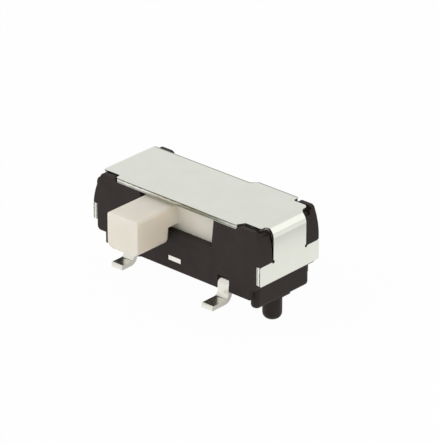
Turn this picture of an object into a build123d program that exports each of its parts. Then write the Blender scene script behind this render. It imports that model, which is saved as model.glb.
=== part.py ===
from build123d import *
import math
import os

# Right-angle surface-mount slide switch, single pole, two positions.
# Millimetres. +Z is up, X runs along the travel and the knob leaves the front, towards -Y.
# The origin lies in the board plane, midway between the two locating posts.
# The slider is drawn where it rests, at the left end of its travel.

# Fits
running_clearance = 0.03     # slider against the housing and the cover
seat_clearance = 0.02        # cover against the moulding it snaps over
contact_clearance = 0.01     # contact tips above the fixed strips
overrun = 0.5                # how far a cut runs past a surface

# Travel, knob and neck
travel = 2.0
knob_width = 1.64
knob_height = 1.54
knob_reach = 2.0             # from the front wall to the face of the knob
knob_drop = 0.15             # top of the knob below the cover's underside
knob_wall_gap = 0.12         # between the back of the knob and the front wall, at the bottom
knob_back_lean = 0.08        # how far the back of the knob leans to the wall
knob_heel_radius = 0.15      # lower corner at the back of the knob
knob_lower_radius = 0.28     # long lower edges
knob_upper_radius = 0.12     # long upper edges
knob_face_radius = 0.05      # round the face
neck_lift = 0.26             # underside of the neck above the window sill
neck_root_radius = 0.06      # neck into the guide plate

# Formed strips of the terminals
strip = 0.2                  # thickness
strip_bend = 0.2             # inside radius of the bends
terminal_width = 0.58
terminal_pitch = 5.1         # between the two front terminals
common_width = 0.66          # strip of the centre terminal
common_offset = 0.07         # centre strip to the left of the middle
foot_reach = 0.95            # right and centre feet, past the housing face
left_foot_reach = 0.72       # the left foot is cropped shorter
foot_tip_radius = 0.09
pad_width = 1.5              # contact pad of a side terminal, along the travel
common_pad_width = 1.4       # contact pad of the centre terminal
pad_depth = 1.7
sheared_end_recess = 0.02    # cut ends lie this far inside the housing face
peep_margin = 0.015          # small window round a cut end
notch_margin = 0.02          # slot of the housing round a terminal

# Heights, from the board up
floor_gap = 0.495            # air under the floor of the housing
strip_cover = 0.36           # moulding under the strips
contact_room = 0.955         # from the floor to the ledge that the slider runs on
sill_rise = 0.14             # window sill above that ledge
slider_height = 1.31
sheet = 0.2                  # thickness of the cover

# Depths, from the front back
front_wall = 0.34
guide_plate = 0.44           # plate of the slider behind the window
block_depth = 1.8            # block of the slider that carries the contact
spring_room = 0.54
back_wall = 0.35
front_ledge = 0.28
back_ledge = 0.3

# Lengths, from the middle out
jamb_clearance = 0.1         # neck to window side at the end of the travel
jamb_lean = 0.125            # the right side of the window leans out at the top
plate_lap = 0.025            # guide plate past the window at the end of the travel
end_wall = 0.18
block_length = 3.1
contact_room_margin = 0.3    # lower chamber past the terminals

# Lower body of the housing
shelf_height = 0.955         # underside of the two ends
skirt_left = 3.82            # front and back walls below that height, from the middle
skirt_right = 3.95
end_pad_length = 0.44        # pads under the two ends
end_pad_setback = 0.16       # pads inside the end faces
end_pad_back_setback = 0.1   # pads inside the back face
right_pad_setback = 0.25     # right pad inside the front face
left_pad_setback = 0.5       # left pad inside the front face, clear of the knob
end_pad_lift = 0.02          # pads above the board
end_pad_radius = 0.2         # corners of the pads, seen from above
end_pad_edge_radius = 0.15   # round the underside of the pads
shelf_radius = 0.17
floor_recess_length = 5.6
floor_recess_depth = 2.3
floor_recess_height = 0.14
post_spacing = 7.2
post_diameter = 0.8
post_length = 1.02           # right post, below the board plane
short_post_length = 0.56     # left post, which enters its hole last
post_tip_radius = 0.26
short_post_tip_radius = 0.08
post_base_margin = 0.1       # base of each post, round its foot

# Snap ramps at the four corners of the housing
hook_height = 2.11           # shoulder that the cover hooks under
ramp_relief = 0.01           # shoulder inside the outer face of the cover
right_ramp_lean = 0.29       # top of the right ramps inside their shoulder
left_ramp_lean = 0.5         # top of the left ramps inside their shoulder
ramp_bulge = 0.09            # how far the ramps bow out of a straight line
ramp_neck_gap = 0.06         # beside the neck of the cover's flap
crest_drop = 0.05            # top of the ramps below the top of the cover
crest_depth = 0.2            # thickness of the crests beside the cover
crest_radius = 0.18          # ends of the crests
crest_round_share = 0.25     # of the length of a crest, the most that its round may take

# Cover
cover_bend = 0.3             # inside radius
flange_length = 6.45         # wide front part over the window
flange_slant = 0.2           # its right end runs in at a slant
left_margin = 0.26           # plate inside the housing faces at the left end
right_margin = 0.35          # the same at the right end
tab_start = 1.32             # back tab, measured from the middle
tab_length = 2.12
tab_slant = 0.25             # its left end runs in at a slant
shoulder_angle = 22          # degrees of the bend that the full width of the plate takes part in
shoulder_radius = 0.15       # corners where the plate ends beside the neck of the flap
shoulder_root_radius = 0.2   # inner corners between the plate and the neck
flap_neck_width = 1.94
right_wing_height = 0.85
left_wing_height = 0.74
wing_radius = 0.07
plan_radius = 0.1            # corners of the blank
relief_radius = 0.07         # punched rounds where the neck meets the wings

# Moving contact
contact_sheet = 0.1
contact_width = 1.1
contact_slot = 0.2           # between the two fingers of each arm
contact_bend = 0.15          # radius at the middle of the sheet
contact_slope = 60           # degrees
contact_tip_lift = 45        # degrees
peg_diameter = 0.3
peg_clearance = 0.02
peg_head_diameter = 0.46
peg_head_height = 0.1

# Detent spring and its notches
spring_sheet = 0.08
spring_height = 0.8
spring_bump_radius = 0.15    # at the middle of the sheet
spring_root_radius = 0.2
spring_flank = 48            # degrees
spring_bump_height = 0.3     # bump above the arms
notch_radius = 0.3
notch_depth = 0.12
ear_width = 0.16             # ears of the slider that hold the spring's ends

# Slider core
core_wall = 0.35
core_depth = 0.85

# Positions that follow
half_travel = travel / 2
rest = -half_travel

strip_bottom = floor_gap + strip_cover
strip_middle = strip_bottom + strip / 2
floor_top = strip_bottom + strip
ledge_top = floor_top + contact_room
sill_top = ledge_top + sill_rise
slider_bottom = ledge_top + running_clearance
slider_top = slider_bottom + slider_height
cover_underside = slider_top + running_clearance
cover_top = cover_underside + sheet
crest_top = cover_top - crest_drop
knob_top = cover_underside - knob_drop
knob_bottom = knob_top - knob_height
neck_bottom = sill_top + neck_lift

slider_depth = guide_plate + block_depth
cavity_depth = running_clearance + slider_depth + spring_room
half_depth = (front_wall + cavity_depth + back_wall) / 2
front_inner = front_wall - half_depth
back_inner = half_depth - back_wall
plate_front = front_inner + running_clearance
plate_back = plate_front + guide_plate
block_back = plate_front + slider_depth
knob_face = -half_depth - knob_reach
knob_back = -half_depth - knob_wall_gap

window_half_sill = knob_width / 2 + half_travel + jamb_clearance
window_half_top = window_half_sill + jamb_lean
plate_half = window_half_top + half_travel + plate_lap
cavity_half = plate_half + half_travel + running_clearance
end_face = cavity_half + end_wall
half_length = end_face + seat_clearance + sheet

terminal_offset = terminal_pitch / 2
wing_top = hook_height - seat_clearance
ramp_inner = flap_neck_width / 2 + ramp_neck_gap
ramp_depth = half_depth - ramp_inner
ramp_shoulder = half_length - ramp_relief
flange_half = flange_length / 2
tab_end = tab_start + tab_length
bend_start = half_length - sheet - cover_bend
bend_height = cover_underside - cover_bend
shoulder = math.radians(shoulder_angle)
shoulder_reach = cover_bend + sheet + overrun

os.makedirs("parts", exist_ok=True)


def bend_point(radius, angle):
    """Point round the axis of the cover's right bend, with the angle measured from straight up."""
    return bend_start + radius * math.sin(angle), bend_height + radius * math.cos(angle)


def formed_strip_outline(reach):
    """Side outline of a terminal: cut end, flat strip, drop and foot, with the foot towards the front."""
    drop = strip / 2 - half_depth
    with BuildLine() as path:
        FilletPolyline(
            (half_depth - sheared_end_recess, strip_middle),
            (drop, strip_middle),
            (drop, strip / 2),
            (-half_depth - reach, strip / 2),
            radius=strip_bend + strip / 2,
        )
    trace(path.line, line_width=strip)


def round_foot_tip():
    """Rounds the upper edge at the end of the foot, in the part being built."""
    ends = faces().filter_by(Axis.Y).sort_by(lambda face: face.center().Z)[0]
    fillet(ends.edges().filter_by(Axis.X).sort_by(Axis.Z)[-1], foot_tip_radius)


# Front terminals: one strip each, widened to a contact pad on the chamber floor
with BuildPart() as terminal_right:
    with BuildSketch(Plane.YZ.offset(terminal_offset)):
        formed_strip_outline(foot_reach)
    extrude(amount=terminal_width / 2, both=True)
    round_foot_tip()
    with BuildSketch(Plane.XY.offset(strip_bottom)):
        with Locations((terminal_offset + terminal_width / 2, 0)):
            Rectangle(pad_width, pad_depth, align=(Align.MAX, Align.CENTER))
    extrude(amount=strip)

with BuildPart() as terminal_left:
    with BuildSketch(Plane.YZ.offset(-terminal_offset)):
        formed_strip_outline(left_foot_reach)
    extrude(amount=terminal_width / 2, both=True)
    round_foot_tip()
    with BuildSketch(Plane.XY.offset(strip_bottom)):
        with Locations((-terminal_offset - terminal_width / 2, 0)):
            Rectangle(pad_width, pad_depth, align=(Align.MIN, Align.CENTER))
    extrude(amount=strip)

# Centre terminal: its cut end shows at the front and its foot leaves at the back
with BuildPart() as strip_common:
    with BuildSketch(Plane.YZ.offset(-common_offset)):
        formed_strip_outline(foot_reach)
    extrude(amount=common_width / 2, both=True)
    round_foot_tip()
    with BuildSketch(Plane.XY.offset(strip_bottom)):
        with Locations((-common_offset, 0)):
            Rectangle(common_pad_width, pad_depth)
    extrude(amount=strip)

with BuildPart() as terminal_common:
    mirror(strip_common.part, about=Plane.XZ)

# Outline of the cover's blank seen from above, with its ends running on past the bends
with BuildSketch() as blank:
    with BuildLine():
        Polyline(
            (-half_length - overrun, left_margin - half_depth),
            (-flange_half, left_margin - half_depth),
            (-flange_half, -half_depth),
            (flange_half, -half_depth),
            (flange_half + flange_slant, right_margin - half_depth),
            (half_length + overrun, right_margin - half_depth),
            (half_length + overrun, half_depth - right_margin),
            (tab_end, half_depth - right_margin),
            (tab_end, half_depth),
            (tab_start, half_depth),
            (tab_start - tab_slant, half_depth - left_margin),
            (-half_length - overrun, half_depth - left_margin),
            close=True,
        )
    make_face()
    fillet([corner for corner in blank.vertices() if abs(corner.X) < half_length], plan_radius)

# Cover: one sheet folded down at both ends, each end a T that hooks under the ramps
with BuildPart() as cover:
    with BuildSketch(Plane.XZ):
        with BuildLine():
            FilletPolyline(
                (-half_length + sheet / 2, wing_top - left_wing_height),
                (-half_length + sheet / 2, cover_top - sheet / 2),
                (half_length - sheet / 2, cover_top - sheet / 2),
                (half_length - sheet / 2, wing_top - right_wing_height),
                radius=cover_bend + sheet / 2,
            )
        trace(line_width=sheet)
    extrude(amount=half_depth, both=True)
    with BuildSketch(Plane.XY.offset(wing_top)):
        Rectangle(2 * (half_length + overrun), 2 * (half_depth + overrun))
        add(blank.sketch, mode=Mode.SUBTRACT)
    extrude(amount=cover_top - wing_top + overrun, mode=Mode.SUBTRACT)
    # Neck of each flap: the plate's full width ends part of the way round the bend
    for start, depth in ((flap_neck_width / 2, half_depth), (-flap_neck_width / 2, -half_depth)):
        with BuildSketch(Plane.XZ.offset(start)):
            with BuildLine():
                Polyline(
                    (bend_start, bend_height),
                    bend_point(shoulder_reach, shoulder),
                    (half_length + shoulder_reach, bend_height),
                    (half_length + shoulder_reach, wing_top),
                    (bend_start, wing_top),
                    close=True,
                )
            make_face()
            mirror(about=Plane.YZ)
        extrude(amount=depth, mode=Mode.SUBTRACT)
    with BuildSketch(Plane.YZ):
        with Locations((flap_neck_width / 2, wing_top), (-flap_neck_width / 2, wing_top)):
            Circle(relief_radius)
    extrude(amount=half_length + overrun, both=True, mode=Mode.SUBTRACT)
    shoulder_edges = [
        edge
        for lean in (math.sin(shoulder), -math.sin(shoulder))
        for edge in cover.edges().filter_by(Axis((0, 0, 0), (lean, 0, math.cos(shoulder))))
    ]
    fillet([edge for edge in shoulder_edges if abs(edge.center().Y) > ramp_inner], shoulder_radius)
    fillet([edge for edge in shoulder_edges if abs(edge.center().Y) < ramp_inner], shoulder_root_radius)
    wing_corners = [
        edge
        for edge in cover.edges().filter_by(Axis.X)
        if abs(abs(edge.center().Y) - half_depth) < seat_clearance
        and edge.center().Z < wing_top + seat_clearance
    ]
    fillet(wing_corners, wing_radius)

# Pads under the ends of the housing, rounded where they come near the board
end_pad_middle = end_face - end_pad_setback - end_pad_length / 2
with BuildPart() as end_pads:
    with BuildSketch(Plane.XY.offset(end_pad_lift)):
        for x, setback in ((end_pad_middle, right_pad_setback), (-end_pad_middle, left_pad_setback)):
            with Locations((x, (setback - end_pad_back_setback) / 2)):
                pad_side = 2 * half_depth - setback - end_pad_back_setback
                RectangleRounded(end_pad_length, pad_side, end_pad_radius)
    extrude(amount=shelf_height - end_pad_lift)
    fillet(end_pads.faces().group_by(Axis.Z)[0].edges(), end_pad_edge_radius)

# Housing: open-topped tray with ramps at its corners, a front window, end pads and locating posts
with BuildPart() as housing:
    # Upper body, with its ends rounded under the bends of the cover
    with BuildSketch(Plane.XZ) as body_outline:
        with BuildLine():
            Polyline(
                (-end_face, shelf_height),
                (end_face, shelf_height),
                (end_face, cover_underside),
                (-end_face, cover_underside),
                close=True,
            )
        make_face()
        fillet(body_outline.vertices().group_by(Axis.Y)[-1], cover_bend + seat_clearance)
        fillet(body_outline.vertices().group_by(Axis.Y)[0], shelf_radius)
    extrude(amount=half_depth, both=True)

    # Snap ramps, bowed outwards from the crest to the shoulder
    for side, start, inner, lean in (
        (1, half_depth, flange_half, right_ramp_lean),
        (-1, half_depth, flange_half, left_ramp_lean),
        (1, ramp_depth - half_depth, tab_end, right_ramp_lean),
        (-1, ramp_depth - half_depth, flange_half, left_ramp_lean),
    ):
        with BuildSketch(Plane.XZ.offset(start)) as ramp_outline:
            with BuildLine():
                outline = Polyline(
                    (side * (ramp_shoulder - lean), crest_top),
                    (side * (inner + seat_clearance), crest_top),
                    (side * (inner + seat_clearance), hook_height),
                    (side * ramp_shoulder, hook_height),
                )
                SagittaArc(outline @ 1, outline @ 0, -side * ramp_bulge)
            make_face()
            crest_length = ramp_shoulder - lean - inner - seat_clearance
            crest_round = min(crest_radius, crest_round_share * crest_length)
            fillet(ramp_outline.vertices().group_by(Axis.Y)[-1], crest_round)
        extrude(amount=-ramp_depth)

    # Skirt and floor
    with BuildSketch(Plane.XY.offset(floor_gap)):
        with Locations((-skirt_left, 0)):
            Rectangle(skirt_left + skirt_right, 2 * half_depth, align=(Align.MIN, Align.CENTER))
    extrude(amount=shelf_height - floor_gap)

    # End pads, with a base for each post
    add(end_pads.part)
    post_base = post_diameter + 2 * post_base_margin
    with BuildSketch(Plane.XY.offset(end_pad_lift)):
        with GridLocations(post_spacing, 0, 2, 1):
            Rectangle(post_base, post_base)
    extrude(amount=shelf_height - end_pad_lift)

    # Seat of the cover's plate between the crests, rounded under the shoulders, which bend with the plate
    with BuildSketch(Plane.XY.offset(cover_underside)):
        add(blank.sketch)
        offset(amount=seat_clearance, kind=Kind.INTERSECTION)
        Rectangle(2 * (half_length + overrun), 2 * (half_depth - crest_depth))
    extrude(amount=sheet + overrun, mode=Mode.SUBTRACT)
    seat_radius = cover_bend - seat_clearance
    seat_angle = shoulder + (shoulder_root_radius + seat_clearance) / cover_bend
    for side, margin in ((1, right_margin), (-1, left_margin)):
        with BuildSketch(Plane((0, 0, 0), x_dir=(side, 0, 0), z_dir=(0, -side, 0))):
            with BuildLine():
                seat_end = bend_point(seat_radius, seat_angle)
                round_seat = RadiusArc(bend_point(seat_radius, 0), seat_end, seat_radius)
                Polyline(
                    round_seat @ 1,
                    bend_point(shoulder_reach, seat_angle),
                    bend_point(shoulder_reach, 0),
                    round_seat @ 0,
                )
            make_face()
        extrude(amount=half_depth - margin + seat_clearance, both=True, mode=Mode.SUBTRACT)

    # Chamber of the slider and, below its ledges, the chamber of the contacts
    with BuildSketch(Plane.XY.offset(ledge_top)):
        with Locations((0, front_inner)):
            Rectangle(2 * cavity_half, cavity_depth, align=(Align.CENTER, Align.MIN))
    extrude(amount=cover_underside - ledge_top, mode=Mode.SUBTRACT)
    with BuildSketch(Plane.XY.offset(floor_top)):
        with Locations((0, front_inner + front_ledge)):
            Rectangle(
                terminal_pitch + terminal_width + 2 * contact_room_margin,
                cavity_depth - front_ledge - back_ledge,
                align=(Align.CENTER, Align.MIN),
            )
    extrude(amount=contact_room, mode=Mode.SUBTRACT)

    # Front window for the neck
    with BuildSketch(Plane.XZ.offset(half_depth)):
        with BuildLine():
            Polyline(
                (-window_half_sill, sill_top),
                (window_half_sill, sill_top),
                (window_half_top, cover_underside),
                (-window_half_sill, cover_underside),
                close=True,
            )
        make_face()
    extrude(amount=-front_wall, mode=Mode.SUBTRACT)

    # Two click notches in the back wall
    with BuildSketch(Plane.XY.offset(ledge_top)):
        with Locations((-half_travel, back_inner), (half_travel, back_inner)):
            with Locations((0, notch_depth - notch_radius)):
                Circle(notch_radius)
    extrude(amount=cover_underside - ledge_top, mode=Mode.SUBTRACT)

    # Recess under the floor, locating posts
    with BuildSketch(Plane.XY.offset(floor_gap)):
        Rectangle(floor_recess_length, floor_recess_depth)
    extrude(amount=floor_recess_height, mode=Mode.SUBTRACT)
    for x, length, radius in (
        (post_spacing / 2, post_length, post_tip_radius),
        (-post_spacing / 2, short_post_length, short_post_tip_radius),
    ):
        with BuildSketch(Plane.XY.offset(-length)):
            with Locations((x, 0)):
                Circle(post_diameter / 2)
        extrude(amount=length + strip_bottom)
        post_tip = housing.edges(Select.LAST).sort_by(Axis.Z)[0]
        fillet(post_tip, radius)

    # Slots for the dropping ends of the strips, and small windows round their cut ends
    slot_depth = strip + notch_margin
    for x, out, width in (
        (terminal_offset, -1, terminal_width),
        (-terminal_offset, -1, terminal_width),
        (-common_offset, 1, common_width),
    ):
        with BuildSketch(Plane.XY.offset(floor_gap - overrun)):
            with Locations((x, out * (half_depth - slot_depth / 2))):
                Rectangle(width + 2 * notch_margin, slot_depth)
        extrude(amount=floor_top + notch_margin - floor_gap + overrun, mode=Mode.SUBTRACT)
        with BuildSketch(Plane.XY.offset(strip_bottom - peep_margin)):
            with Locations((x, -out * (half_depth - sheared_end_recess / 2))):
                Rectangle(width + 2 * peep_margin, sheared_end_recess)
        extrude(amount=strip + 2 * peep_margin, mode=Mode.SUBTRACT)

    # The strips are moulded in
    add(terminal_left.part, mode=Mode.SUBTRACT)
    add(terminal_right.part, mode=Mode.SUBTRACT)
    add(terminal_common.part, mode=Mode.SUBTRACT)

# Slider: knob, neck, guide plate and contact block in one moulding
with BuildPart() as slider:
    # Knob and neck from the side
    with BuildSketch(Plane.YZ.offset(rest)) as knob_outline:
        with BuildLine():
            Polyline(
                (knob_face, knob_bottom),
                (knob_back, knob_bottom),
                (knob_back + knob_back_lean, neck_bottom),
                (plate_back, neck_bottom),
                (plate_back, knob_top),
                (knob_face, knob_top),
                close=True,
            )
        make_face()
        heel = knob_outline.vertices().group_by(Axis.Y)[0].sort_by(Axis.X)[-1]
        fillet(heel, knob_heel_radius)
    extrude(amount=knob_width / 2, both=True)
    long_edges = slider.edges().filter_by(Axis.Y)
    fillet(long_edges.group_by(Axis.Z)[-1], knob_upper_radius)
    fillet(slider.edges().filter_by(Axis.Y).group_by(Axis.Z)[0], knob_lower_radius)
    fillet(slider.faces().sort_by(Axis.Y)[0].edges(), knob_face_radius)

    # Guide plate that keeps the window closed, and the block behind it
    with BuildSketch(Plane.XY.offset(slider_bottom)):
        with Locations((rest, plate_front)):
            Rectangle(2 * plate_half, guide_plate, align=(Align.CENTER, Align.MIN))
        with Locations((rest, plate_front)):
            Rectangle(block_length, slider_depth, align=(Align.CENTER, Align.MIN))
        # Ears that hold the spring's ends and run along the back wall
        ear_centre = block_length / 2 - ear_width / 2
        for x in (rest - ear_centre, rest + ear_centre):
            with Locations((x, block_back)):
                Rectangle(ear_width, spring_room - running_clearance, align=(Align.CENTER, Align.MIN))
    extrude(amount=slider_height)
    neck_roots = [
        edge
        for edge in slider.edges()
        if abs(edge.center().Y - plate_front) < running_clearance
        and abs(edge.center().X - rest) < knob_width / 2 + running_clearance
        and neck_bottom - running_clearance < edge.center().Z < knob_top + running_clearance
    ]
    fillet(neck_roots, neck_root_radius)

    # Hollow from above
    with BuildSketch(Plane.XY.offset(slider_top - core_depth)):
        with Locations((rest, plate_back)):
            Rectangle(
                block_length - 2 * core_wall,
                block_depth - core_wall,
                align=(Align.CENTER, Align.MIN),
            )
    extrude(amount=core_depth, mode=Mode.SUBTRACT)

    # Peg that carries the contact, staked over below it
    contact_top = slider_bottom
    contact_bottom = contact_top - contact_sheet
    with BuildSketch(Plane.XY.offset(contact_bottom)):
        with Locations((rest, 0)):
            Circle(peg_diameter / 2)
    extrude(amount=contact_sheet)
    with BuildSketch(Plane.XY.offset(contact_bottom - peg_head_height)):
        with Locations((rest, 0)):
            Circle(peg_head_diameter / 2)
    extrude(amount=peg_head_height)

# Moving contact: a web under the slider and two sprung arms that bridge neighbouring pads
contact_web_height = contact_top - contact_sheet / 2
contact_tip_height = floor_top + contact_clearance + contact_sheet / 2
slope = math.radians(contact_slope)
bend_drop = 2 * contact_bend * (1 - math.cos(slope))
arm_length = (contact_web_height - contact_tip_height - bend_drop) / math.sin(slope)
arm_reach = 2 * contact_bend * math.sin(slope) + arm_length * math.cos(slope)
web_half = half_travel - arm_reach

with BuildPart() as moving_contact:
    with BuildSketch(Plane.XZ):
        with BuildLine():
            web = Line((rest, contact_web_height), (rest + web_half, contact_web_height))
            bend = JernArc(web @ 1, web % 1, contact_bend, -contact_slope)
            arm = Line(bend @ 1, (bend @ 1) + (bend % 1) * arm_length)
            JernArc(arm @ 1, arm % 1, contact_bend, contact_slope + contact_tip_lift)
            mirror(about=Plane.YZ.offset(rest))
        trace(line_width=contact_sheet)
    extrude(amount=contact_width / 2, both=True)
    # Slots that split each arm into two fingers, and the hole for the peg
    with BuildSketch(Plane.XY.offset(floor_top - overrun)):
        for x, side in ((rest + web_half, Align.MIN), (rest - web_half, Align.MAX)):
            with Locations((x, 0)):
                Rectangle(arm_reach + overrun, contact_slot, align=(side, Align.CENTER))
        with Locations((rest, 0)):
            Circle(peg_diameter / 2 + peg_clearance)
    extrude(amount=slider_bottom - floor_top + 2 * overrun, mode=Mode.SUBTRACT)

# Detent spring: a leaf between the ears, bent to a bump that drops into the notches
spring_top = back_inner + notch_depth - running_clearance - spring_sheet / 2
flank = math.radians(spring_flank)
round_drop = (spring_bump_radius + spring_root_radius) * (1 - math.cos(flank))
flank_length = (spring_bump_height - round_drop) / math.sin(flank)
spring_end = block_length / 2 - ear_width - running_clearance
spring_foot = block_back + running_clearance + spring_sheet / 2

with BuildPart() as detent_spring:
    with BuildSketch(Plane.XY.offset((slider_bottom + slider_top - spring_height) / 2)):
        with BuildLine():
            bump = JernArc((rest, spring_top), (1, 0), spring_bump_radius, -spring_flank)
            side_line = Line(bump @ 1, (bump @ 1) + (bump % 1) * flank_length)
            root = JernArc(side_line @ 1, side_line % 1, spring_root_radius, spring_flank)
            Line(root @ 1, (rest + spring_end, spring_foot))
            mirror(about=Plane.YZ.offset(rest))
        trace(line_width=spring_sheet)
    extrude(amount=spring_height)

pieces = {
    "housing": housing,
    "cover": cover,
    "slider": slider,
    "moving_contact": moving_contact,
    "detent_spring": detent_spring,
    "terminal_left": terminal_left,
    "terminal_right": terminal_right,
    "terminal_common": terminal_common,
}
for name, piece in pieces.items():
    piece.part.label = name
    export_step(piece.part, f"parts/{name}.step")
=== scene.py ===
# %% [markdown]
# # A miniature slide switch, dressed for its picture
# The switch is nine millimetres long: a black moulded housing, a bright folded cover, a cream slider and
# three silvery terminals. Its shapes come from CAD. This lesson gives them their finishes, sets up a small
# white studio and places the camera as in the photograph.

# %% Load the model
import math

import bpy
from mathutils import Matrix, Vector


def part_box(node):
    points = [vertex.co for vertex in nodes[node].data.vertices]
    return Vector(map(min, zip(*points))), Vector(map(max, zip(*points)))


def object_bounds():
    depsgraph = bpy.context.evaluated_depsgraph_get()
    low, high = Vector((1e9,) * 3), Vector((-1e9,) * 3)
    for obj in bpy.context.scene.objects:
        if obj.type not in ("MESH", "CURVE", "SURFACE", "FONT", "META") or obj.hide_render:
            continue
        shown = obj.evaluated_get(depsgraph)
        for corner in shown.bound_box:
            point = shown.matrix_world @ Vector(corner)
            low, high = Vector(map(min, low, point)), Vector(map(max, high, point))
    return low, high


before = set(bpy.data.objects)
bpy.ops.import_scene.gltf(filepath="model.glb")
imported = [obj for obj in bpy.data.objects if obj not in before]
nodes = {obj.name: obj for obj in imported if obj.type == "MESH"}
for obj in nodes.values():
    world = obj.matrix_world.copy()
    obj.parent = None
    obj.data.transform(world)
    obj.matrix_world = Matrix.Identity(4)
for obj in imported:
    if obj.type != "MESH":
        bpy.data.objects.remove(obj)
cad_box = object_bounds()
MM = 0.001
print("pieces:", ", ".join(sorted(nodes)))

# %% [markdown]
# ## The camera
# A product picture of something this small is taken from far off with a long lens, so that its long edges
# stay almost parallel. The corners of the cover in the photograph give the angle and the distance. A camera
# that is turned by two angles and then moved back along its own line of sight keeps those numbers readable.

# %% Place the camera
IMAGE_HEIGHT = 444
FOCAL_PIXELS = 3715.9
AZIMUTH, ELEVATION = math.radians(42.08), math.radians(25.85)
CAMERA_DISTANCE = 148.7 * MM
NEAREST_SEEN = 1 * MM
AIM = Vector((0.342, 0.484, 1.949)) * MM


def towards(heading, height):
    """The direction from the switch at two angles: round from the front to the right, and up."""
    return Vector((
        math.sin(heading) * math.cos(height),
        -math.cos(heading) * math.cos(height),
        math.sin(height),
    ))


bpy.ops.object.camera_add(
    location=AIM + towards(AZIMUTH, ELEVATION) * CAMERA_DISTANCE,
    rotation=(math.pi / 2 - ELEVATION, 0, AZIMUTH),
)
camera = bpy.context.object
camera.name = "picture_camera"
camera.data.sensor_fit = "VERTICAL"
camera.data.lens = FOCAL_PIXELS * camera.data.sensor_height / IMAGE_HEIGHT
camera.data.clip_start = NEAREST_SEEN
bpy.context.scene.camera = camera
print(f"camera {CAMERA_DISTANCE / MM:.0f} mm away, lens {camera.data.lens:.0f} mm")

# %% [markdown]
# ## Wiring shaders with plain arithmetic
# A material is a graph of small nodes. Adding them one by one is slow to read, so a wire wraps an output
# socket: sums and products of wires add Math nodes, and one method adds any other node. With it, a finish
# reads like the sentence that describes it.

# %% A wire through a node tree
class Wire:
    """One output socket of a node tree, or with no socket the tree itself."""

    def __init__(self, tree, socket=None):
        self.tree = tree
        self.socket = socket

    def node(self, kind, settings=None, inputs=None, output=0):
        """Adds a node: its settings first, then values or wires into its sockets."""
        made = self.tree.nodes.new("ShaderNode" + kind)
        for name, value in (settings or {}).items():
            if name == "stops":
                elements = made.color_ramp.elements
                for place, (position, colour) in enumerate(value):
                    stop = elements[place] if place < len(elements) else elements.new(position)
                    stop.position = position
                    stop.color = (*colour, 1)
            else:
                setattr(made, name, value)
        for name, value in (inputs or {}).items():
            self.feed(made.inputs[name], value)
        return Wire(self.tree, made.outputs[output] if made.outputs else None)

    def feed(self, socket, value):
        """Links a wire into a socket, or sets the socket's own value."""
        if isinstance(value, Wire):
            self.tree.links.new(value.socket, socket)
        else:
            socket.default_value = value

    def math(self, operation, first, second=0.0):
        """Adds a Math node on wires or plain numbers."""
        return self.node("Math", {"operation": operation}, {0: first, 1: second})

    def __add__(self, other):
        return self.math("ADD", self, other)

    def __sub__(self, other):
        return self.math("SUBTRACT", self, other)

    def __rsub__(self, other):
        return self.math("SUBTRACT", other, self)

    def __mul__(self, other):
        return self.math("MULTIPLY", self, other)

    def __truediv__(self, other):
        return self.math("DIVIDE", self, other)

    def __pow__(self, other):
        return self.math("POWER", self, other)

    def __gt__(self, other):
        return self.math("GREATER_THAN", self, other)

    def __lt__(self, other):
        return self.math("LESS_THAN", self, other)

    def __or__(self, other):
        return self.math("MAXIMUM", self, other)

    def __abs__(self):
        return self.math("ABSOLUTE", self)

    __radd__ = __add__
    __rmul__ = __mul__

    def parts(self):
        """Splits a vector into its three numbers."""
        split = self.node("SeparateXYZ", inputs={0: self}).socket.node
        return [Wire(self.tree, socket) for socket in split.outputs]

    def ramp(self, low, high, start=0, end=1):
        """A smooth step of this value from start to end as it goes from low to high."""
        limits = {"From Min": low, "From Max": high, "To Min": start, "To Max": end}
        return self.node("MapRange", {"interpolation_type": "SMOOTHSTEP"}, {"Value": self, **limits})

    def blend(self, first, second):
        """A colour between two colours, by this value."""
        sockets = {0: self, 6: (*first, 1) if isinstance(first, tuple) else first}
        sockets[7] = (*second, 1) if isinstance(second, tuple) else second
        return self.node("Mix", {"data_type": "RGBA"}, sockets, output=2)


print("wires ready")

# %% [markdown]
# ## The white studio
# The photograph shows the switch on plain white. A floor that is only lit would come out grey, so for the
# camera and for mirror-like reflections it is mostly white by itself, and a small share is still lit, which
# keeps the soft shadow under the switch. In the metal the sheet of paper is seen to end a little way off,
# and a strip of the darker table shows between it and the wall of the tent. That strip draws the soft band
# under the bend of the cover. Rays that light the plastic see an ordinary matt floor.

# %% Floor
FLOOR_SPAN = 600 * MM
FLOOR_GAP = 0.005 * MM

bpy.ops.object.select_all(action="DESELECT")
lowest = cad_box[0][2]
bpy.ops.mesh.primitive_plane_add(size=FLOOR_SPAN, location=(0, 0, lowest - FLOOR_GAP))
floor = bpy.context.object
floor.name = "studio_floor"
print(f"floor at {lowest / MM:.2f} mm")

# %% Rays that see the studio
def seen_rays(wire):
    """Two wires that are one for rays from the camera or through glass, and for rays from mirrors."""
    path = wire.node("LightPath").socket.node
    camera_ray, glossy_ray, clear_ray = (
        Wire(wire.tree, path.outputs[name])
        for name in ("Is Camera Ray", "Is Glossy Ray", "Is Transmission Ray")
    )
    return camera_ray | clear_ray, glossy_ray


print("camera and mirror rays are told apart")

# %% Floor paint
WHITE_SHARE = 0.97
MATT_WHITE = (0.92, 0.92, 0.92, 1)
TABLE_LIGHT = 0.52
PAPER_EDGE, TENT_WALL, EDGE_BLUR = 9.95, 11.7, 0.2

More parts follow.
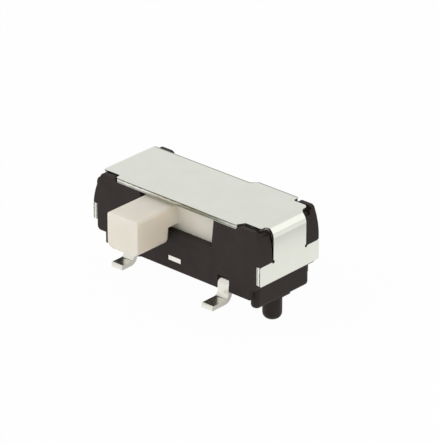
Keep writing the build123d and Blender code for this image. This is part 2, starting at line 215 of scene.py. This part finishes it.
floor_paint = bpy.data.materials.new("studio_white")
floor_paint.use_nodes = True
floor_paint.node_tree.nodes.clear()
wire = Wire(floor_paint.node_tree)
direct, mirrored = seen_rays(wire)
aside = abs(wire.node("TexCoord", output="Object").parts()[0]) / MM
past_paper = aside.ramp(PAPER_EDGE - EDGE_BLUR, PAPER_EDGE + EDGE_BLUR)
before_wall = aside.ramp(TENT_WALL - EDGE_BLUR, TENT_WALL + EDGE_BLUR, 1, 0)
table = 1 - past_paper * before_wall * (1 - TABLE_LIGHT)
matt = wire.node("BsdfDiffuse", inputs={"Color": MATT_WHITE})
glow = wire.node("Emission", inputs={"Strength": direct + (1 - direct) * table})
mixed = wire.node("MixShader", inputs={0: (direct | mirrored) * WHITE_SHARE, 1: matt, 2: glow})
wire.node("OutputMaterial", inputs={"Surface": mixed})
floor.data.materials.append(floor_paint)
print(f"paper ends {PAPER_EDGE} mm to each side")

# %% [markdown]
# ## Light
# A white tent lights the real picture with even light from all round. The world is the tent: mirrors see it
# almost white, and the plastic gets about half, which leaves room for the lamps.

# %% World
TENT_LIGHT = 0.55
TENT_SEEN = 0.88

world = bpy.data.worlds.new("white_tent")
bpy.context.scene.world = world
world.use_nodes = True
world.node_tree.nodes.clear()
wire = Wire(world.node_tree)
direct, mirrored = seen_rays(wire)
strength = direct * (1 - TENT_LIGHT) + mirrored * (TENT_SEEN - TENT_LIGHT) + TENT_LIGHT
tent = wire.node("Background", inputs={"Color": (1, 1, 1, 1), "Strength": strength})
wire.node("OutputWorld", inputs={"Surface": tent})
print("tent light", TENT_LIGHT)

# %% [markdown]
# ### Lamps
# A large soft lamp at the front left makes the face of the knob its brightest side, and a warm one fills
# the right. Both are kept out of the mirrors, because from the far side their reflection would bleach the
# whole top of the cover. A faint panel in front of the first one gives the terminals their glints instead,
# and another at the back right draws the bright line along the bend of the cover.

# %% Lamps
LAMP_RADIUS = 90 * MM
WIDE_LAMP, SMALL_LAMP = 110 * MM, 60 * MM
WHITE, WARM = (1, 1, 1), (1.0, 0.76, 0.48)


def lamp(name, heading, height, width, light_level, colour=WHITE, in_mirrors=False):
    """A square soft lamp aimed at the switch. The level is what it adds on a white card that faces it."""
    away = towards(math.radians(heading), math.radians(height))
    bpy.ops.object.light_add(type="AREA", location=AIM + away * LAMP_RADIUS)
    made = bpy.context.object
    made.name = name
    made.rotation_euler = away.to_track_quat("Z", "Y").to_euler()
    made.visible_glossy = in_mirrors
    made.data.size = width
    made.data.color = colour
    made.data.energy = light_level * math.pi ** 2 * LAMP_RADIUS ** 2
    print(f"{name}: {made.data.energy:.4f} W")


lamp("front_lamp", heading=-42, height=23, width=WIDE_LAMP, light_level=0.54)
lamp("glint_panel", heading=-42, height=23, width=WIDE_LAMP, light_level=0.1, in_mirrors=True)
lamp("bend_panel", heading=138, height=26, width=SMALL_LAMP, light_level=0.046, in_mirrors=True)
lamp("warm_fill", heading=80, height=20, width=SMALL_LAMP, light_level=0.16, colour=WARM)

# %% [markdown]
# ## Finishes
# Every finish starts from one Principled shader and from the position on the piece in millimetres, because
# that is the scale at which tool marks and grain are known. Noise of a known size and a shallow bump do the
# rest, so that no picture has to be wrapped round the pieces.

# %% Start of a finish
class Finish:
    """A new material with its shader and the position on the piece in millimetres."""

    def __init__(self, name):
        self.material = bpy.data.materials.new(name)
        self.material.use_nodes = True
        self.wire = Wire(self.material.node_tree)
        self.shader = self.material.node_tree.nodes["Principled BSDF"]
        place = self.wire.node("TexCoord", output="Object")
        self.place = self.wire.node("VectorMath", {"operation": "SCALE"}, {0: place, "Scale": 1 / MM})

    def noise(self, size, detail=2.0, stretch=(1, 1, 1)):
        """Soft noise with features of about this size in millimetres, longer along an axis by its stretch."""
        squeeze = tuple(1 / (size * share) for share in stretch)
        place = self.wire.node("VectorMath", {"operation": "MULTIPLY"}, {0: self.place, 1: squeeze})
        return self.wire.node("TexNoise", inputs={"Vector": place, "Scale": 1.0, "Detail": detail})

    def bump(self, height, depth):
        """A normal for a relief of this depth in millimetres."""
        sockets = {"Height": height, "Strength": 1.0, "Distance": depth * MM}
        return self.wire.node("Bump", inputs=sockets)

    def set(self, **sockets):
        """Sets sockets of the shader, with underscores for the spaces in their names."""
        for name, value in sockets.items():
            self.wire.feed(self.shader.inputs[name.replace("_", " ")], value)

    def wear(self, *names):
        """Puts the finish on CAD pieces."""
        for name in names:
            piece = nodes[name]
            piece.data.materials.clear()
            piece.data.materials.append(self.material)
        print(self.material.name, "on", ", ".join(names))


print("finishes start in millimetres")

# %% [markdown]
# ### Black moulding
# The housing is a glass-filled black plastic. Its tool was spark-eroded, so the skin is a fine even grain
# with a dull sheen, a little cloudy where the melt flowed. The colour stays almost black, and the roughness
# carries the clouds.

# %% Housing
BLACK_DEEP, BLACK_PALE = (0.026, 0.0195, 0.018), (0.032, 0.0245, 0.0225)
CLOUD_SIZE, CLOUD_SPREAD = 0.9, (0.35, 0.65)
GRAIN_SIZE, GRAIN_DEPTH = 0.03, 0.004
DULL, CLOUD_BLUR, GRAIN_BLUR = 0.4, 0.14, 0.1
FAINT_SHEEN = 0.17

black = Finish("black_moulding")
grain = black.noise(GRAIN_SIZE, detail=3)
clouds = black.noise(CLOUD_SIZE)
black.set(
    Base_Color=clouds.ramp(*CLOUD_SPREAD).blend(BLACK_DEEP, BLACK_PALE),
    Roughness=clouds * CLOUD_BLUR + grain * GRAIN_BLUR + DULL,
    Specular_IOR_Level=FAINT_SHEEN,
    Normal=black.bump(grain, GRAIN_DEPTH),
)
black.wear("housing")

# %% [markdown]
# ### Bright tin
# The cover is cold-rolled steel with bright tin on it. Where the sheet was sheared, the cut shows a smooth
# bright band and then a torn, duller one; next to the outer face a dark line is painted in, a painted
# reflection standing in for the dark look of the rounded edge there. Painting each edge by hand would be
# slow. The depth below the outer face of the sheet, measured round the bends too, tells which band a point of
# the cut lies in: 0 is the outer face and 1 the inner one.

# %% Cover: depth in the sheet
SHEET, OUTER_BEND = 0.2, 0.5
OUTER_SKIN, INNER_SKIN = 0.06, 0.94

tin = Finish("bright_tin")
cover_end, cover_back, cover_top = (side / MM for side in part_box("cover")[1])
x, y, z = tin.place.parts()
across = (abs(x) - (cover_end - OUTER_BEND)) | 0.0
above = (z - (cover_top - OUTER_BEND)) | 0.0
depth = (OUTER_BEND - (across * across + above * above) ** 0.5) / SHEET
cut = (depth > OUTER_SKIN) * (depth < INNER_SKIN)
print(f"cover: top at {cover_top:.2f} mm, ends at {cover_end:.2f} mm")

# %% [markdown]
# The border between the bands is ragged, in long tears along the edge, so a stretched noise shifts the
# depth a little. Above the window the cut of the flange is painted dark olive, a painted reflection of the
# dark window below it.

# %% Cover: sheared edges
# The first two stops are a painted dark line next to the outer face, a painted reflection of the rounded
# edge; the others are the cut's own bright and dull bands.
CUT_BANDS = (
    (0.0, (0.13, 0.13, 0.115)),
    (0.22, (0.18, 0.18, 0.16)),
    (0.36, (0.9, 0.9, 0.83)),
    (0.6, (0.82, 0.82, 0.75)),
    (0.75, (0.4, 0.4, 0.35)),
    (1.0, (0.28, 0.28, 0.24)),
)
TORN_SIZE, TORN_STRETCH = 0.07, (5, 1, 1)
TORN_SHARE, TORN_SHIFT = 0.7, 0.37
# Painted reflection of the dark window on the flange's cut: its colour, and where along the length it fades
# in and out.
WINDOW_REFLECTION_COLOUR = (0.16, 0.18, 0.12)
WINDOW_REFLECTION_START, WINDOW_REFLECTION_FULL, WINDOW_REFLECTION_SHARE = -0.9, 1.8, 0.8
WINDOW_REFLECTION_EASES, WINDOW_REFLECTION_EASED, WINDOW_REFLECTION_LEFT = 2.2, 2.8, 0.45
FLANGE_END, FLANGE_BACK = 3.6, -1.7

torn = tin.noise(TORN_SIZE, detail=3, stretch=TORN_STRETCH)
ragged_depth = depth + torn * TORN_SHARE - TORN_SHIFT
bands = tin.wire.node("ValToRGB", {"stops": CUT_BANDS}, {"Fac": ragged_depth})
on_flange = (x < FLANGE_END) * (y < FLANGE_BACK)
# Painted reflection: the cut above the window is darkened where it mirrors the dark window.
window_reflection = x.ramp(WINDOW_REFLECTION_START, WINDOW_REFLECTION_FULL, 0, WINDOW_REFLECTION_SHARE) * x.ramp(WINDOW_REFLECTION_EASES, WINDOW_REFLECTION_EASED, 1, WINDOW_REFLECTION_LEFT)
bands = (window_reflection * on_flange).blend(bands, WINDOW_REFLECTION_COLOUR)
print(len(CUT_BANDS), "stops across the cut")

# %% [markdown]
# The rolling leaves lines so fine that they only blur the reflections along the sheet, and the tin freezes
# in faint pale patches. Along the back edge of the top a narrow band is darkened, a painted reflection
# standing in for the rolled-over rim. That edge steps back to the tab on the right, so its place is a ramp
# along the length.

# %% Cover: faces and rim
TIN_DEEP, TIN_PALE = (0.775, 0.785, 0.71), (0.795, 0.805, 0.73)
PATCH_SIZE, PATCH_SPREAD = 0.8, (0.3, 0.7)
ROLLING_SIZE, ROLLING_STRETCH, ROLLING_DEPTH = 0.05, (12, 1, 1), 0.0005
BRIGHT, PATCH_BLUR, ROLLING_BLUR, CUT_BLUR = 0.13, 0.04, 0.06, 0.16
TAB_START, TAB_SLANT, TAB_END = 1.32, 0.25, 3.44
BACK_EDGE, RIM, RIM_REFLECTION_SHARE = 1.49, 0.08, 0.8
RIM_REFLECTION_COLOUR = (0.2, 0.2, 0.18)

patches = tin.noise(PATCH_SIZE, detail=3)
rolling = tin.noise(ROLLING_SIZE, stretch=ROLLING_STRETCH)
faces = patches.ramp(*PATCH_SPREAD).blend(TIN_DEEP, TIN_PALE)
on_top = (x < TAB_END) * (above > OUTER_BEND - SHEET)
back_edge = x.ramp(TAB_START - TAB_SLANT, TAB_START, BACK_EDGE, cover_back)
# Painted reflection: a darker band along the back edge of the top, in place of the rolled-over rim's darker
# look.
rim_reflection = (y - back_edge).ramp(-RIM, -RIM / 2, 0, RIM_REFLECTION_SHARE) * on_top
tin.set(
    Base_Color=cut.blend(rim_reflection.blend(faces, RIM_REFLECTION_COLOUR), bands),
    Metallic=1.0,
    Roughness=patches * PATCH_BLUR + rolling * ROLLING_BLUR + cut * CUT_BLUR + BRIGHT,
    Normal=tin.bump(rolling, ROLLING_DEPTH),
)
tin.wear("cover")

# %% [markdown]
# ### Cream moulding
# The slider is a pale nylon. Light goes a little way into it, which warms its shaded sides, and subsurface
# scattering does that better than a warmer colour would. The skin is satin, with a very soft orange-peel.

# %% Slider
CREAM_DEEP, CREAM_PALE = (0.85, 0.805, 0.71), (0.88, 0.84, 0.755)
TINT_SIZE, TINT_SPREAD = 1.1, (0.3, 0.7)
PEEL_SIZE, PEEL_DEPTH = 0.12, 0.003
SATIN, PEEL_BLUR = 0.38, 0.12
GLOW_SHARE, GLOW_REACH, GLOW_TINT = 0.35, 0.5 * MM, (1.0, 0.7, 0.45)

cream = Finish("cream_moulding")
peel = cream.noise(PEEL_SIZE)
tint = cream.noise(TINT_SIZE)
cream.set(
    Base_Color=tint.ramp(*TINT_SPREAD).blend(CREAM_DEEP, CREAM_PALE),
    Roughness=peel * PEEL_BLUR + SATIN,
    Subsurface_Weight=GLOW_SHARE,
    Subsurface_Radius=GLOW_TINT,
    Subsurface_Scale=GLOW_REACH,
    Normal=cream.bump(peel, PEEL_DEPTH),
)
cream.wear("slider")

# %% [markdown]
# ### Terminals
# The terminals are copper-alloy strip with a bright plate that solder wets easily. The faces keep the lines
# of the drawing, the sheared sides of the strip are duller, and the cut end of the centre strip in the small
# front window is bright. The direction of the surface finds the sides, and the position finds the cut end.

# %% Terminals
PLATE_DEEP, PLATE_PALE = (0.78, 0.77, 0.695), (0.88, 0.87, 0.79)
SIDE_COLOUR, CUT_END_COLOUR = (0.5, 0.49, 0.44), (0.87, 0.86, 0.79)
SIDE_SPREAD = (0.6, 0.9)
HALF_STRIP, CUT_END_REACH = 1.0, 0.03
DRAWN_SIZE, DRAWN_STRETCH, DRAWN_DEPTH = 0.03, (1, 10, 10), 0.0004
SMOOTH, DRAWN_BLUR = 0.22, 0.08

plate = Finish("bright_plate")
drawn = plate.noise(DRAWN_SIZE, stretch=DRAWN_STRETCH)
strip_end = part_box("terminal_common")[0][1] / MM
x, y = plate.place.parts()[:2]
cut_end = (abs(x) < HALF_STRIP) * (y < strip_end + CUT_END_REACH)
sideways = plate.wire.node("NewGeometry", output="Normal").parts()[0]
faces = abs(sideways).ramp(*SIDE_SPREAD).blend(drawn.blend(PLATE_DEEP, PLATE_PALE), SIDE_COLOUR)
plate.set(
    Base_Color=cut_end.blend(faces, CUT_END_COLOUR),
    Metallic=1.0,
    Roughness=drawn * DRAWN_BLUR + SMOOTH,
    Normal=plate.bump(drawn, DRAWN_DEPTH),
)
plate.wear("terminal_left", "terminal_right", "terminal_common")

# %% [markdown]
# ### Contact and spring
# Both are hidden when the switch is whole, and show only when it is taken apart. The contact is spring
# bronze, warm and slightly dull with tarnish, so one noise moves both its colour and its gloss. The click
# spring is plain stainless strip, and a noise drawn out along the strip gives it a grain.

# %% Contact
BRONZE_DEEP, BRONZE_PALE = (0.66, 0.42, 0.24), (0.78, 0.55, 0.34)
TARNISH_SIZE = 0.3
CLEAN, TARNISH_BLUR = 0.2, 0.16

bronze = Finish("spring_bronze")
tarnish = bronze.noise(TARNISH_SIZE, detail=3)
bronze.set(
    Base_Color=tarnish.blend(BRONZE_DEEP, BRONZE_PALE),
    Metallic=1.0,
    Roughness=tarnish * TARNISH_BLUR + CLEAN,
)
bronze.wear("moving_contact")

# %% Spring
STEEL_DEEP, STEEL_PALE = (0.56, 0.56, 0.56), (0.63, 0.63, 0.62)
STRIP_GRAIN_SIZE, STRIP_GRAIN_STRETCH = 0.02, (10, 10, 1)
POLISHED, STRIP_GRAIN_BLUR = 0.22, 0.12

steel = Finish("spring_steel")
strip_grain = steel.noise(STRIP_GRAIN_SIZE, stretch=STRIP_GRAIN_STRETCH)
steel.set(
    Base_Color=strip_grain.blend(STEEL_DEEP, STEEL_PALE),
    Metallic=1.0,
    Roughness=strip_grain * STRIP_GRAIN_BLUR + POLISHED,
)
steel.wear("detent_spring")

# %% [markdown]
# ## View settings
# The view settings stay plain, so that a colour comes out about as it is written.

# %% View settings
bpy.context.scene.view_settings.view_transform = "Standard"
